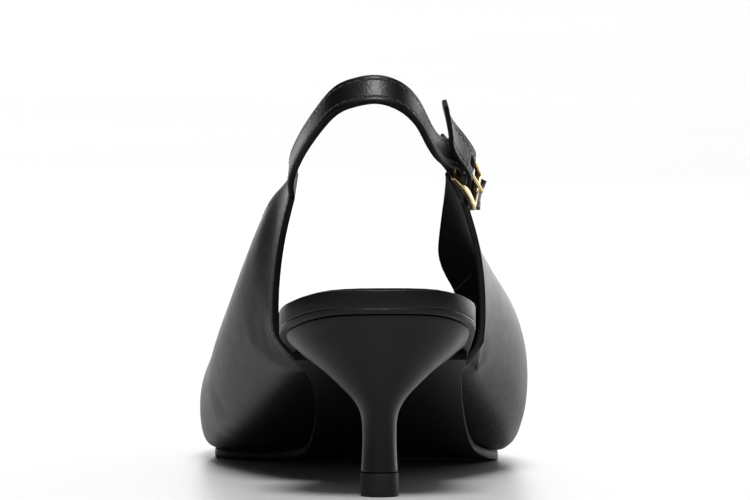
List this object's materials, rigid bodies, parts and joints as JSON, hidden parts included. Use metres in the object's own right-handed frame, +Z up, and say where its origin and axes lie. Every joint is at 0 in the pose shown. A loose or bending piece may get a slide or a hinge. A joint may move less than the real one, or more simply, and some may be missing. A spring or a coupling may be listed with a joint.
{
  "type": "slingback pump",
  "caption": "Right slingback pump with a pointed toe, a buckled heel strap and a slim waisted heel, standing empty.",
  "frame": {"origin": "centre of the heel tip's ground face", "axes": "+Y to the toe, +Z up, +X to the outer (little toe) side of this right shoe"},
  "size_m": [0.0849, 0.2519, 0.1081],
  "materials": {
    "upper_leather": "smooth black leather, semi-gloss",
    "insole_leather": "smooth black lining leather, satin",
    "outsole": "matt black",
    "heel_cover": "smooth black cover, satin",
    "heel_tip": "matt black",
    "buckle": "polished pale gold"
  },
  "bodies": {
    "root": {"upper": "upper_leather", "sling_strap": "upper_leather", "strap_tail": "upper_leather", "insole": "insole_leather", "outsole": "outsole", "heel": "heel_cover", "heel_tip": "heel_tip", "buckle_frame": "buckle", "buckle_prong": "buckle"}
  },
  "joints": []
}
